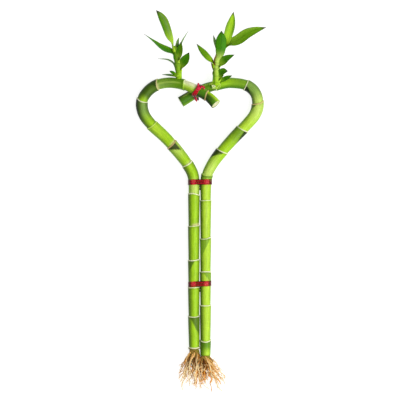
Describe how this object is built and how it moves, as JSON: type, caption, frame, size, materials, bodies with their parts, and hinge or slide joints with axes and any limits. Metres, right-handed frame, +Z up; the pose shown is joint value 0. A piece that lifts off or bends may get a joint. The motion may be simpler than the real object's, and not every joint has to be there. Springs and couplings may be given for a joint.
{
  "type": "lucky bamboo",
  "caption": "Heart-shaped lucky bamboo: live green canes tied with red wire, bent into a heart with crossed tips, with leafy shoots and bare roots; a house plant lying on its back.",
  "frame": {"origin": "centre of the upper tie's underside, where it rests on the surface", "axes": "+Y along the plant from the roots to the leaves, +X to the right as the heart is seen, +Z up from the surface it lies on, towards the viewer of the heart's front"},
  "size_m": [0.13, 0.3807, 0.0257],
  "materials": {
    "cane_left": "living green cane skin, smooth and half glossy, yellow-green to dark green",
    "cane_right": "living green cane skin, smooth and half glossy, paler yellow-green",
    "leaf_left": "smooth leathery leaves, dark to mid green with parallel veins",
    "leaf_right": "smooth leathery leaves, mid to bright green with parallel veins",
    "root": "matt cream, tan and amber root skin",
    "wire": "glossy red plastic coating on soft wire"
  },
  "bodies": {
    "root": {"cane_left": "cane_left", "cane_right": "cane_right", "shoot_left": "leaf_left", "shoot_right": "leaf_right", "roots_left": "root", "roots_right": "root", "tie_lower": "wire", "tie_upper": "wire", "tie_crossing": "wire"}
  },
  "joints": []
}
